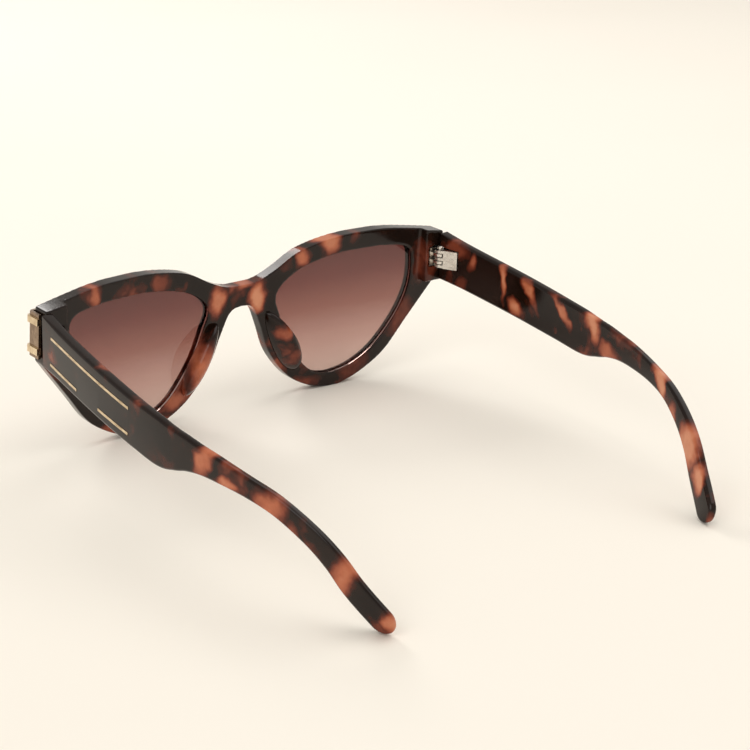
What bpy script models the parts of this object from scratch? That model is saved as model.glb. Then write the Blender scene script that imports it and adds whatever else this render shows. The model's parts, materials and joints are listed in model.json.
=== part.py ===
"""Cat eye sunglasses: an acetate front and two folding temples, in metres with +Z up.

The glasses stand on their rims and temple tips, open, with the front facing -Y. The wearer's left is +X.
The front is drawn flat in X and Z, then bowed and leaned. Each temple is a sheet with thickness that
follows a centre line in the YZ plane and flares out in plan. A five-barrel hinge joins each temple to
its endpiece, and the temple turns about the hinge screw.
"""

import math

import bmesh
import bpy
from mathutils import Matrix, Vector
from mathutils.geometry import interpolate_bezier

# Driving dimensions, in metres.
GAP = 0.0003  # clearance between pieces that touch

LENS_WIDTH = 0.0492  # lens opening, seen from the front
LENS_HEIGHT = 0.0397
BRIDGE_WIDTH = 0.0246  # between the two lens openings
BRIDGE_TOP = 0.0399  # height of the saddle above the floor
BRIDGE_HEIGHT = 0.0069
RIM_TOP = 0.0057  # walls round a lens opening
RIM_SIDE = 0.0044
RIM_BOTTOM = 0.0047
RIM_NOSE = 0.0072
REST_LENGTH = 0.0050  # flat that each rim stands on
END_LENGTH = 0.0095  # lens opening to the end of the front
END_TOP = 0.0470
END_HEIGHT = 0.0160
FRONT_THICKNESS = 0.0042
FRONT_ROUND = 0.0008
FRONT_BOW = 0.520  # radius of the front in plan
FRONT_LEAN = 0.074  # rearward lean per height
BLOCK_DEPTH = 0.0027  # endpiece block behind the front
BLOCK_WIDTH = 0.0068

LENS_THICKNESS = 0.0018
LENS_BITE = 0.0008  # how far a lens reaches into its groove

PAD_LENGTH = 0.0235
PAD_WIDTH = 0.0066
PAD_DEPTH = 0.0055
PAD_PLACE = 0.59  # height of its middle, as a share of the way up the nose side of the rim
PAD_SPLAY = 0.35  # outward lean of a nose pad per depth

PLAQUE_THICKNESS = 0.0009
PLAQUE_HEIGHT = 0.0132
PLAQUE_LIFT = 0.0002  # middle of a plaque above the joint
PLAQUE_RETURN = 0.0045  # leg on the face of the front
PLAQUE_CORNER = 0.0006
BAND_HEIGHT = 0.0020
BAND_PROUD = 0.0005
BAND_SPACING = 0.0088

TEMPLE_LENGTH = 0.1295  # joint to the centre of the round tip
TEMPLE_HEIGHT = 0.0148
ARM_HEIGHT = 0.0058
TIP_HEIGHT = 0.0074
TEMPLE_THICKNESS = 0.0032
ARM_THICKNESS = 0.0024
TEMPLE_ROUND = 0.0009
TEMPLE_FLARE = 0.0124  # outward run of a temple in plan
TIP_INSET = 0.0150  # how far the tip ends inside the joint
TIP_TURN = 0.26  # how far the arm's top edge turns outwards at the tip, per height

# Shares of a temple's length.
TAPER_START = 0.30
TAPER_END = 0.60
TURN_START = 0.76

INLAY_WIDTH = 0.0008
INLAY_THICKNESS = 0.0006
INLAY_PROUD = 0.0001
WIRE_RADIUS = 0.00045
WIRE_REACH = 0.86  # share of the temple's length where its wire ends

HINGE_HEIGHT = 0.0058
HINGE_BARRELS = 5
BARREL_RADIUS = 0.0016
HINGE_INSET = 0.0012  # hinge axis inside the inner face of the temple
HINGE_SPARE = 0.00005  # barrels behind the end of the temple
HINGE_REACH = 0.0062  # leaf behind the hinge axis
LEAF_SINK = 0.0013  # depth of a leaf in the acetate
POCKET_CLEAR = 0.0030  # how far a pocket's cutter reaches out of the temple
SCREW_RADIUS = 0.0006
SCREW_HEAD_RADIUS = 0.00095
SCREW_HEAD_HEIGHT = 0.0007
SCREW_SLOT = 0.0003

# Shares of the barrel radius, from the hinge axis in the front leaf.
LEAF_INNER = 1.4
LEAF_OUTER = 0.7
FINGER_NECK = 0.45

SPAN_STEPS = 4  # points drawn per stretch of an outline

# Places worked out from them.
HALF_WIDTH = BRIDGE_WIDTH / 2 + LENS_WIDTH + END_LENGTH
JOINT_Z = END_TOP - END_HEIGHT / 2
END_BACK = HALF_WIDTH**2 / (2 * FRONT_BOW) + FRONT_LEAN * JOINT_Z + FRONT_THICKNESS / 2
BLOCK_BACK = END_BACK + BLOCK_DEPTH
TEMPLE_FRONT = BLOCK_BACK + GAP
TEMPLE_X = HALF_WIDTH + GAP + PLAQUE_THICKNESS + GAP  # outer face of a temple at the joint
INNER_X = TEMPLE_X - TEMPLE_THICKNESS
HINGE_X = INNER_X - HINGE_INSET
HINGE_Y = TEMPLE_FRONT + BARREL_RADIUS + HINGE_SPARE
HINGE_LOW = JOINT_Z - HINGE_HEIGHT / 2
BARREL_PITCH = HINGE_HEIGHT / HINGE_BARRELS
HOLE_RADIUS = SCREW_RADIUS + GAP

# The lens opening, as shares of its width and height, from its nose side over the top.
OPENING = [
    (0.000, 0.733), (0.065, 0.846), (0.207, 0.937), (0.420, 0.990), (0.624, 1.000), (0.827, 0.990),
    (0.965, 0.950), (1.000, 0.851), (0.996, 0.625), (0.923, 0.400), (0.783, 0.174), (0.632, 0.048),
    (0.472, 0.000), (0.335, 0.028), (0.222, 0.144), (0.106, 0.360), (0.035, 0.582),
]
TOP_POINTS = range(1, 6)  # those with the top rim's wall outside them
LOW_WALLS = {9: RIM_SIDE, 10: RIM_SIDE, 11: RIM_SIDE, 13: RIM_BOTTOM, 14: RIM_NOSE * 0.85,
             15: RIM_NOSE, 16: RIM_NOSE}

# A temple's centre line: share of its length, height as a share of the joint's, and blade height.
DROP = TEMPLE_HEIGHT - ARM_HEIGHT
SWELL = TIP_HEIGHT - ARM_HEIGHT
TIP_LIFT = (ARM_THICKNESS - TEMPLE_ROUND) / 2 * TIP_TURN  # keeps the turned tip's lower edge on the floor
TEMPLE_LINE = [
    (0.000, 1.000, TEMPLE_HEIGHT), (0.119, 0.944, ARM_HEIGHT + DROP * 0.93),
    (0.271, 0.877, ARM_HEIGHT + DROP * 0.90), (0.396, 0.821, ARM_HEIGHT + DROP * 0.88),
    (0.472, 0.790, ARM_HEIGHT + DROP * 0.87), (0.518, 0.792, ARM_HEIGHT + DROP * 0.65),
    (0.554, 0.800, ARM_HEIGHT + DROP * 0.44), (0.598, 0.797, ARM_HEIGHT + DROP * 0.24),
    (0.647, 0.782, ARM_HEIGHT + DROP * 0.13), (0.723, 0.740, ARM_HEIGHT), (0.792, 0.677, ARM_HEIGHT),
    (0.859, 0.558, ARM_HEIGHT + SWELL * 0.30), (0.908, 0.426, ARM_HEIGHT + SWELL * 0.65),
    (0.949, 0.267, ARM_HEIGHT + SWELL * 0.95), (1.000, (TIP_HEIGHT / 2 + TIP_LIFT) / JOINT_Z, TIP_HEIGHT),
]

# Metal lines in a temple's outer face: start and end as distance from the joint and height from its middle.
INLAYS = {
    "long": ((0.0054, 0.0026), (0.0484, -0.0031)),
    "front_short": ((0.0046, -0.0052), (0.0206, -0.0073)),
    "rear_short": ((0.0326, -0.0086), (0.0480, -0.0103)),
}

ACETATE = ("tortoise_acetate", (0.10, 0.035, 0.015), 0.12, 0.0)
LENS_TINT = ("brown_lens", (0.20, 0.09, 0.07), 0.05, 0.0)
STEEL = ("hinge_steel", (0.62, 0.58, 0.53), 0.30, 1.0)
GOLD = ("pale_gold", (0.80, 0.62, 0.38), 0.25, 1.0)


def material(look):
    name, colour, roughness, metallic = look
    if name in bpy.data.materials:
        return bpy.data.materials[name]
    made = bpy.data.materials.new(name)
    made.use_nodes = True
    shader = made.node_tree.nodes["Principled BSDF"]
    shader.inputs["Base Color"].default_value = (*colour, 1)
    shader.inputs["Roughness"].default_value = roughness
    shader.inputs["Metallic"].default_value = metallic
    return made


def add(name, mesh, look=None):
    """An object for the mesh: a piece when it has a look, else a cutter."""
    made = bpy.data.objects.new(name, mesh)
    if look:
        mesh.materials.append(material(look))
        PIECES.objects.link(made)
    else:
        CUTTERS.objects.link(made)
        made.hide_render = True
        made.display_type = "WIRE"
    return made


def mesh_from(bm, name):
    bmesh.ops.remove_doubles(bm, verts=bm.verts, dist=1e-6)
    bmesh.ops.recalc_face_normals(bm, faces=bm.faces)
    mesh = bpy.data.meshes.new(name)
    bm.to_mesh(mesh)
    bm.free()
    return mesh


def smooth(points, steps, closed=False, corners=()):
    """Points along a smooth line through the given ones, with straight stretches between two corners."""
    points = [Vector(point) for point in points]
    count = len(points)
    drawn = []
    for index in range(count if closed else count - 1):
        after = (index + 1) % count
        here, there = points[index], points[after]
        before = points[index - 1] if closed or index else here
        beyond = points[(after + 1) % count] if closed or after + 1 < count else there
        leave = Vector.Fill(len(here), 0) if index in corners else (there - before) / 6
        arrive = Vector.Fill(len(here), 0) if after in corners else (beyond - here) / 6
        drawn += interpolate_bezier(here, here + leave, there - arrive, there, steps + 1)[:-1]
    return drawn if closed else drawn + [points[-1]]


def offset(points, distance):
    """A closed outline, moved outwards by the distance."""
    moved = []
    for index, point in enumerate(points):
        along = points[(index + 1) % len(points)] - points[index - 1]
        moved.append(point + Vector((-along[1], along[0])).normalized() * distance)
    return moved


def opening_points():
    return [Vector((BRIDGE_WIDTH / 2 + u * LENS_WIDTH, RIM_BOTTOM + v * LENS_HEIGHT)) for u, v in OPENING]


def opening():
    return smooth(opening_points(), SPAN_STEPS, closed=True)


def front_outline():
    """The outer outline of the front: bridge, top rim, endpiece and lower rim, then its mirror image."""
    inside = opening_points()
    top = offset(inside, RIM_TOP)
    rest_x = inside[12][0]
    half = [Vector((BRIDGE_WIDTH * 0.24, BRIDGE_TOP + 0.0004))]
    half += [top[index] for index in TOP_POINTS]
    half += [Vector((HALF_WIDTH, END_TOP)), Vector((HALF_WIDTH, END_TOP - END_HEIGHT))]
    for index, wall in LOW_WALLS.items():
        if index == 13:
            half += [Vector((rest_x + REST_LENGTH / 2, 0)), Vector((rest_x - REST_LENGTH / 2, 0))]
        half.append(offset(inside, wall)[index])
    half.append(Vector((BRIDGE_WIDTH * 0.17, BRIDGE_TOP - BRIDGE_HEIGHT - 0.0013)))
    ends = [Vector((0, BRIDGE_TOP)), Vector((0, BRIDGE_TOP - BRIDGE_HEIGHT))]
    mirrored = [Vector((-point[0], point[1])) for point in reversed(half)]
    points = [ends[0]] + half + [ends[1]] + mirrored
    corners = [index for index, point in enumerate(points) if abs(abs(point[0]) - HALF_WIDTH) < 1e-6]
    corners += [index for index, point in enumerate(points) if point[1] == 0]
    return smooth(points, SPAN_STEPS, closed=True, corners=corners)


def front_y(x, z):
    """The middle surface of the front."""
    return x * x / (2 * FRONT_BOW) + FRONT_LEAN * z


def plate(name, loops, thickness, axes, middle=0.0):
    """A flat outline with holes, given thickness. Its axes name the two directions it is drawn in."""
    curve = bpy.data.curves.new(name, "CURVE")
    curve.dimensions = "2D"
    curve.fill_mode = "BOTH"
    curve.extrude = thickness / 2
    for loop in loops:
        spline = curve.splines.new("POLY")
        spline.points.add(len(loop) - 1)
        for point, place in zip(spline.points, loop):
            point.co = (place[0], place[1], 0, 1)
        spline.use_cyclic_u = True
    helper = bpy.data.objects.new(name, curve)
    CUTTERS.objects.link(helper)
    graph = bpy.context.evaluated_depsgraph_get()
    bm = bmesh.new()
    bm.from_mesh(bpy.data.meshes.new_from_object(helper.evaluated_get(graph)))
    bpy.data.objects.remove(helper)
    first, second = ("xyz".index(axis) for axis in axes)
    third = 3 - first - second
    for vert in bm.verts:
        place = [0, 0, 0]
        place[first], place[second], place[third] = vert.co.x, vert.co.y, vert.co.z + middle
        vert.co = place
    return bm


def box(low, high):
    bm = bmesh.new()
    bmesh.ops.create_cube(bm, size=1)
    low, high = Vector(low), Vector(high)
    for vert in bm.verts:
        vert.co = [low[i] + (vert.co[i] + 0.5) * (high[i] - low[i]) for i in range(3)]
    return bm


def mirror(bm, side):
    if side < 0:
        bmesh.ops.scale(bm, vec=(-1, 1, 1), verts=bm.verts)
    return bm


def boolean(target, operation, *tools):
    for tool in tools:
        modifier = target.modifiers.new(tool.name, "BOOLEAN")
        modifier.operation = operation
        modifier.solver = "EXACT"
        modifier.object = tool


def bevel(target, width, segments=2, angle=45):
    modifier = target.modifiers.new("round", "BEVEL")
    modifier.width = width
    modifier.segments = segments
    modifier.limit_method = "ANGLE"
    modifier.angle_limit = math.radians(angle)


def solidify(target, thickness):
    modifier = target.modifiers.new("thickness", "SOLIDIFY")
    modifier.thickness = thickness
    modifier.offset = 0
    modifier.use_even_offset = True


def lens_surface(spread):
    """The middle surface of a lens, from rings that shrink to its centre."""
    loop = offset(opening(), spread)
    bm = bmesh.new()
    ring = [bm.verts.new((point[0], 0, point[1])) for point in loop]
    edges = [bm.edges.new((ring[index - 1], ring[index])) for index in range(len(ring))]
    centre = Vector((BRIDGE_WIDTH / 2 + LENS_WIDTH * 0.52, 0, RIM_BOTTOM + LENS_HEIGHT * 0.58))
    for share in (0.75, 0.5, 0.25):
        made = bmesh.ops.extrude_edge_only(bm, edges=edges)["geom"]
        verts = [item for item in made if isinstance(item, bmesh.types.BMVert)]
        edges = [item for item in made if isinstance(item, bmesh.types.BMEdge)]
        shrink = share / (share + 0.25)
        bmesh.ops.scale(bm, vec=(shrink, 1, shrink), space=Matrix.Translation(-centre), verts=verts)
    bmesh.ops.contextual_create(bm, geom=edges)
    bmesh.ops.poke(bm, faces=[face for face in bm.faces if len(face.verts) > 4])
    for vert in bm.verts:
        vert.co.y = front_y(vert.co.x, vert.co.z)
    return bm


def make_lens(side, word):
    lens = add(word + "_lens", mesh_from(mirror(lens_surface(LENS_BITE), side), word + "_lens"), LENS_TINT)
    solidify(lens, LENS_THICKNESS)
    groove = mesh_from(mirror(lens_surface(LENS_BITE + GAP), side), word + "_lens_groove")
    cutter = add(word + "_lens_groove", groove)
    solidify(cutter, LENS_THICKNESS + 2 * GAP)
    return cutter


def make_block(side, word):
    """The endpiece block that carries the hinge, joined to the back of the front."""
    low = (HALF_WIDTH - BLOCK_WIDTH, BLOCK_BACK - BLOCK_DEPTH - FRONT_THICKNESS * 0.5, END_TOP - END_HEIGHT)
    bm = box(low, (HALF_WIDTH, BLOCK_BACK, END_TOP))
    block = add(word + "_block", mesh_from(mirror(bm, side), word + "_block"))
    bevel(block, FRONT_ROUND, segments=2)
    return block


def bend_front(bm):
    for vert in bm.verts:
        vert.co.y += front_y(vert.co.x, vert.co.z)
    return bm


def make_front():
    inside = opening()
    mirrored = [Vector((-point[0], point[1])) for point in inside]
    bm = bend_front(plate("front", [front_outline(), inside, mirrored], FRONT_THICKNESS, "xz"))
    front = add("front_frame", mesh_from(bm, "front_frame"), ACETATE)
    bevel(front, FRONT_ROUND)
    return front


def make_pad(side, word):
    """A nose pad: half an ellipsoid that follows the nose side of the rim, glued to its back."""
    inside = opening_points()
    upper = (inside[16] + offset(inside, RIM_NOSE)[16]) / 2
    lower = (inside[14] + offset(inside, RIM_NOSE)[14]) / 2
    along = (upper - lower).normalized()
    centre = lower.lerp(upper, PAD_PLACE)
    bm = bmesh.new()
    bmesh.ops.create_uvsphere(bm, u_segments=20, v_segments=12, radius=1)
    cut = bmesh.ops.bisect_plane(
        bm, geom=bm.verts[:] + bm.edges[:] + bm.faces[:], plane_co=(0, 0, 0), plane_no=(0, 1, 0),
        clear_inner=True)
    edges = [item for item in cut["geom_cut"] if isinstance(item, bmesh.types.BMEdge)]
    bmesh.ops.contextual_create(bm, geom=edges)
    for vert in bm.verts:
        across, depth, run = vert.co.x * PAD_WIDTH / 2, vert.co.y * PAD_DEPTH, vert.co.z * PAD_LENGTH / 2
        x = centre[0] + run * along[0] + across * along[1] + depth * PAD_SPLAY
        z = centre[1] + run * along[1] - across * along[0]
        vert.co = (x, front_y(x, z) + FRONT_THICKNESS / 2 + GAP + depth, z)
    return add(word + "_nose_pad", mesh_from(mirror(bm, side), word + "_nose_pad"), ACETATE)


def angle_section(proud, inset):
    """An L in plan, round the outer corner of the front, from inside the plaque to its face."""
    x = HALF_WIDTH + GAP
    back = front_y(HALF_WIDTH, 0) + FRONT_THICKNESS / 2
    face = front_y(HALF_WIDTH, 0) - FRONT_THICKNESS / 2 - GAP
    start = HALF_WIDTH - PLAQUE_RETURN
    outer = PLAQUE_THICKNESS + proud
    return [
        (x + inset, back), (x + inset, face - inset), (start, face - inset), (start, face - outer),
        (x + outer - PLAQUE_CORNER, face - outer), (x + outer, face - outer + PLAQUE_CORNER),
        (x + outer, back),
    ]


def make_plaque(side, word):
    """A metal corner plaque with two raised bands, which wraps from the face to the side of the front."""
    middle = JOINT_Z + PLAQUE_LIFT
    bodies = [(0.0, 0.0, PLAQUE_HEIGHT, middle)]
    for place in (1, -1):
        bodies.append((BAND_PROUD, PLAQUE_THICKNESS / 2, BAND_HEIGHT, middle + place * BAND_SPACING / 2))
    made = []
    for number, (proud, inset, height, z) in enumerate(bodies):
        bm = plate("plaque", [angle_section(proud, inset)], height, "xy", z)
        for vert in bm.verts:
            vert.co.y += FRONT_LEAN * vert.co.z + (vert.co.x**2 - HALF_WIDTH**2) / (2 * FRONT_BOW)
        mesh = mesh_from(mirror(bm, side), word + "_plaque")
        made.append(add(word + ("_endpiece_plaque" if number == 0 else f"_band_{number}"), mesh,
                        GOLD if number == 0 else None))
    boolean(made[0], "UNION", *made[1:])
    return made[0]


def round_points(radius, start, end, steps):
    """Points on an arc about the hinge axis, in plan, with angles in degrees."""
    angles = [math.radians(start + (end - start) * step / steps) for step in range(steps + 1)]
    return [(HINGE_X + radius * math.cos(angle), HINGE_Y + radius * math.sin(angle)) for angle in angles]


def barrel_plates(word, name, section, numbers, side):
    """The fingers of a hinge leaf, one for each barrel number, as tools for a union."""
    made = []
    for number in numbers:
        z = HINGE_LOW + BARREL_PITCH * (number + 0.5)
        bm = plate("finger", [section], BARREL_PITCH - GAP, "xy", z)
        made.append(add(f"{word}_{name}_{number}", mesh_from(mirror(bm, side), name)))
    return made


def screw_hole(side, word):
    bm = bmesh.new()
    bmesh.ops.create_cone(bm, cap_ends=True, segments=16, radius1=HOLE_RADIUS, radius2=HOLE_RADIUS,
                          depth=HINGE_HEIGHT * 2, matrix=Matrix.Translation((HINGE_X, HINGE_Y, JOINT_Z)))
    return add(word + "_screw_hole", mesh_from(mirror(bm, side), word + "_screw_hole"))


def inner_face(y):
    """The inner face of a temple in plan."""
    return temple_x(y) - thickness_at(y) / 2


def make_front_leaf(side, word, hole):
    """The leaf sunk in the endpiece block, with the barrels between the temple's."""
    deep = BLOCK_BACK - GAP - LEAF_SINK
    low = (HINGE_X - BARREL_RADIUS * LEAF_INNER, deep, HINGE_LOW)
    high = (HINGE_X + BARREL_RADIUS * LEAF_OUTER, BLOCK_BACK - GAP, HINGE_LOW + HINGE_HEIGHT)
    leaf = add(word + "_front_hinge_leaf", mesh_from(mirror(box(low, high), side), "leaf"), STEEL)
    neck = HINGE_X + BARREL_RADIUS * FINGER_NECK
    arm = [(neck, deep + GAP), (neck, HINGE_Y)]
    section = arm + round_points(BARREL_RADIUS, 0, 180, 10) + [(HINGE_X - BARREL_RADIUS, deep + GAP)]
    boolean(leaf, "UNION", *barrel_plates(word, "front_finger", section, range(1, HINGE_BARRELS, 2), side))
    boolean(leaf, "DIFFERENCE", hole)
    recess = box([value - GAP for value in low], (high[0] + GAP, BLOCK_BACK + 2 * GAP, high[2] + GAP))
    return add(word + "_front_leaf_recess", mesh_from(mirror(recess, side), "recess"))


def make_temple_leaf(side, word, hole):
    """The leaf sunk in the temple, with the outer barrels and a back that slopes down to the temple."""
    start = HINGE_Y + BARREL_RADIUS + 2 * GAP
    end = HINGE_Y + HINGE_REACH
    rise = inner_face(end) - GAP - (HINGE_X - BARREL_RADIUS)
    slope = math.atan2(rise, HINGE_REACH)
    tangent = (HINGE_X - BARREL_RADIUS * math.cos(slope), HINGE_Y + BARREL_RADIUS * math.sin(slope))
    reach = (inner_face(end) - GAP - tangent[0]) / (end - tangent[1])
    base = [(inner_face(start) + LEAF_SINK, start), (inner_face(end) + LEAF_SINK, end),
            (inner_face(end) - GAP, end)]
    body = base + [(tangent[0] + reach * (start - tangent[1]), start)]
    bm = plate("leaf", [body], HINGE_HEIGHT, "xy", JOINT_Z)
    leaf = add(word + "_temple_hinge_leaf", mesh_from(mirror(bm, side), "leaf"), STEEL)
    further = start + GAP
    section = round_points(BARREL_RADIUS, 180 - math.degrees(slope), 360, 14)
    section += [(inner_face(further), start), (inner_face(further), further),
                (tangent[0] + reach * (further - tangent[1]) + GAP / 2, further)]
    boolean(leaf, "UNION", *barrel_plates(word, "temple_finger", section, range(0, HINGE_BARRELS, 2), side))
    boolean(leaf, "DIFFERENCE", hole)
    pocket_start = TEMPLE_FRONT - GAP
    corners = [(inner_face(pocket_start) + LEAF_SINK + GAP, pocket_start),
               (inner_face(end) + LEAF_SINK + GAP, end + GAP), (INNER_X - POCKET_CLEAR, end + GAP),
               (INNER_X - POCKET_CLEAR, pocket_start)]
    bm = plate("pocket", [corners], HINGE_HEIGHT + 2 * GAP, "xy", JOINT_Z)
    return add(word + "_temple_leaf_pocket", mesh_from(mirror(bm, side), "pocket"))


def make_screw(side, word):
    """The hinge screw: a turned profile with a slotted head."""
    top = HINGE_LOW + HINGE_HEIGHT + GAP
    profile = [(0, top + SCREW_HEAD_HEIGHT), (SCREW_HEAD_RADIUS * 0.8, top + SCREW_HEAD_HEIGHT),
               (SCREW_HEAD_RADIUS, top + SCREW_HEAD_HEIGHT * 0.7), (SCREW_HEAD_RADIUS, top),
               (SCREW_RADIUS, top), (SCREW_RADIUS, HINGE_LOW), (0, HINGE_LOW)]
    mesh = bpy.data.meshes.new(word + "_hinge_screw")
    edges = [(index, index + 1) for index in range(len(profile) - 1)]
    mesh.from_pydata([(radius, 0, z) for radius, z in profile], edges, [])
    screw = add(word + "_hinge_screw", mesh, STEEL)
    screw.location = (side * HINGE_X, HINGE_Y, 0)
    turn = screw.modifiers.new("turn", "SCREW")
    turn.steps = turn.render_steps = 16
    turn.use_merge_vertices = True
    turn.merge_threshold = 0.00001
    turn.use_normal_calculate = True
    reach = SCREW_HEAD_RADIUS * 1.2
    half = SCREW_SLOT / 2
    slot = box((-reach, -half, top + SCREW_HEAD_HEIGHT * 0.55), (reach, half, top + 2 * SCREW_HEAD_HEIGHT))
    cutter = add(word + "_screw_slot", mesh_from(slot, "slot"))
    cutter.location = screw.location
    boolean(screw, "DIFFERENCE", cutter)


def share_at(y):
    return (y - TEMPLE_FRONT) / TEMPLE_LENGTH


def thickness_at(y):
    """A temple's thickness, which eases from the blade's to the arm's."""
    step = min(max((share_at(y) - TAPER_START) / (TAPER_END - TAPER_START), 0), 1)
    return TEMPLE_THICKNESS + (ARM_THICKNESS - TEMPLE_THICKNESS) * step * step * (3 - 2 * step)


def turn_at(y):
    """How far a section leans outwards at its top, per height."""
    return TIP_TURN * max(0, (share_at(y) - TURN_START) / (1 - TURN_START))


def temple_x(y):
    """The middle of a temple's thickness in plan. Its outer face is a cubic in the share of its length."""
    share = share_at(y)
    bow = TEMPLE_FLARE * share - (TEMPLE_FLARE + TIP_INSET) * share**3
    return TEMPLE_X - thickness_at(y) / 2 + bow


def temple_stations():
    """Centre, upward direction and height of each section of a temple, in Y and Z."""
    line = []
    for share, height, blade in TEMPLE_LINE:
        line.append((TEMPLE_FRONT + share * TEMPLE_LENGTH, height * JOINT_Z, blade))
    drawn = smooth(line, 3)
    stations = []
    for index, point in enumerate(drawn):
        before, after = drawn[max(index - 1, 0)], drawn[min(index + 1, len(drawn) - 1)]
        along = (after - before).to_2d().normalized()
        up = Vector((-along[1], along[0]))
        upright = max(0.0, 1 - index / 6)
        up = (up * (1 - upright) + Vector((0, 1)) * upright).normalized()
        stations.append((point.to_2d(), up, point[2]))
    centre, up, height = stations[-1]
    along = Vector((up[1], -up[0]))
    for degrees in (25, 50, 70, 84):
        angle = math.radians(degrees)
        stations.append((centre + along * math.sin(angle) * height / 2, up, height * math.cos(angle)))
    return stations


def ribbon(stations, rows, x_of):
    """A sheet through the stations, with its X from a function of Y."""
    bm = bmesh.new()
    bmesh.ops.create_grid(bm, x_segments=len(stations) - 1, y_segments=rows, size=1)
    for vert in bm.verts:
        centre, up, height = stations[round((vert.co.x + 1) / 2 * (len(stations) - 1))]
        rise = height * vert.co.y / 2
        place = centre + up * rise
        vert.co = (x_of(place[0]) + turn_at(centre[0]) * rise, place[0], place[1])
    return bm


def make_temple(side, word):
    sheet = ribbon(temple_stations(), 2, temple_x)
    temple = add(word + "_temple", mesh_from(mirror(sheet, side), word + "_temple"), ACETATE)
    thickest = max(TEMPLE_THICKNESS, ARM_THICKNESS)
    taper = temple.vertex_groups.new(name="taper")
    for vert in temple.data.vertices:
        taper.add([vert.index], thickness_at(vert.co.y) / thickest, "REPLACE")
    solidify(temple, thickest)
    temple.modifiers["thickness"].vertex_group = taper.name
    bevel(temple, TEMPLE_ROUND, angle=50)
    return temple


def inlay_sheet(ends, width, lift):
    """A narrow sheet along a line on the outer face of a temple."""
    start, end = ((TEMPLE_FRONT + along, JOINT_Z + height) for along, height in ends)
    start, end = Vector(start), Vector(end)
    along = (end - start).normalized()
    up = Vector((-along[1], along[0]))
    spare = along * (width - INLAY_WIDTH) / 2
    steps = 10
    stations = [((start - spare).lerp(end + spare, step / steps), up, width) for step in range(steps + 1)]
    return ribbon(stations, 1, lambda y: temple_x(y) + thickness_at(y) / 2 + lift)


def make_inlay(side, word, name, ends):
    """A metal line in a temple, and the cutter of its groove."""
    lift = INLAY_PROUD - INLAY_THICKNESS / 2
    mesh = mesh_from(mirror(inlay_sheet(ends, INLAY_WIDTH, lift), side), name)
    inlay = add(f"{word}_inlay_{name}", mesh, GOLD)
    solidify(inlay, INLAY_THICKNESS)
    depth = INLAY_THICKNESS - INLAY_PROUD + GAP
    mesh = mesh_from(mirror(inlay_sheet(ends, INLAY_WIDTH + 2 * GAP, 0), side), name)
    groove = add(f"{word}_groove_{name}", mesh)
    solidify(groove, 2 * depth)
    return groove


def reach_to(first, second, distance):
    """The place on the line through two others that is this far behind the joint."""
    return first.lerp(second, (distance + TEMPLE_FRONT - first.y) / (second.y - first.y))


def wire_mesh(name, start, end, radius):
    """A round wire down the middle of a temple, between two distances from the joint."""
    stations = [station for station in temple_stations() if start < station[0][0] - TEMPLE_FRONT < end]
    places = [Vector((temple_x(centre[0]), centre[0], centre[1])) for centre, _, _ in stations]
    line = [reach_to(places[0], places[1], start), *places, reach_to(places[-2], places[-1], end)]
    curve = bpy.data.curves.new(name, "CURVE")
    curve.dimensions = "3D"
    curve.bevel_depth = radius
    curve.bevel_resolution = 2
    curve.use_fill_caps = True
    spline = curve.splines.new("POLY")
    spline.points.add(len(line) - 1)
    for point, place in zip(spline.points, line):
        point.co = (*place, 1)
    helper = bpy.data.objects.new(name, curve)
    CUTTERS.objects.link(helper)
    graph = bpy.context.evaluated_depsgraph_get()
    bm = bmesh.new()
    bm.from_mesh(bpy.data.meshes.new_from_object(helper.evaluated_get(graph)))
    bpy.data.objects.remove(helper)
    return bm


def make_core_wire(side, word):
    """The wire inside a temple, and the cutter of the channel that it lies in."""
    start = HINGE_Y + HINGE_REACH - TEMPLE_FRONT + 2 * GAP
    end = TEMPLE_LENGTH * WIRE_REACH
    bm = wire_mesh("wire", start, end, WIRE_RADIUS)
    add(word + "_core_wire", mesh_from(mirror(bm, side), word + "_core_wire"), STEEL)
    bm = wire_mesh("channel", start - 4 * GAP, end + GAP, WIRE_RADIUS + GAP)
    return add(word + "_wire_channel", mesh_from(mirror(bm, side), word + "_wire_channel"))


def hold(parent, *objects):
    """Parents the objects to the empty and leaves them where they are."""
    for item in objects:
        item.parent = parent
        item.matrix_parent_inverse = parent.matrix_world.inverted()


def make_side(side, word, front):
    """Everything on one side; returns what turns with the temple."""
    boolean(front, "UNION", make_block(side, word))
    boolean(front, "DIFFERENCE", make_lens(side, word))
    make_pad(side, word)
    make_plaque(side, word)
    hole = screw_hole(side, word)
    boolean(front, "DIFFERENCE", make_front_leaf(side, word, hole))
    before = set(PIECES.objects)
    temple = make_temple(side, word)
    boolean(temple, "DIFFERENCE", make_temple_leaf(side, word, hole))
    boolean(temple, "DIFFERENCE", make_core_wire(side, word))
    for name, ends in INLAYS.items():
        boolean(temple, "DIFFERENCE", make_inlay(side, word, name, ends))
    make_screw(side, word)
    return sorted(set(PIECES.objects) - before, key=lambda item: item.name)


def span_of(objects, axis):
    """Lowest and highest place of the evaluated objects along an axis."""
    graph = bpy.context.evaluated_depsgraph_get()
    places = []
    for item in objects:
        done = item.evaluated_get(graph)
        places += [(done.matrix_world @ Vector(corner))[axis] for corner in done.bound_box]
    return min(places), max(places)


for old in list(bpy.data.objects):
    bpy.data.objects.remove(old)
PIECES = bpy.data.collections.new("cat_eye_sunglasses")
CUTTERS = bpy.data.collections.new("cutters")
for collection in (PIECES, CUTTERS):
    bpy.context.scene.collection.children.link(collection)

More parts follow.
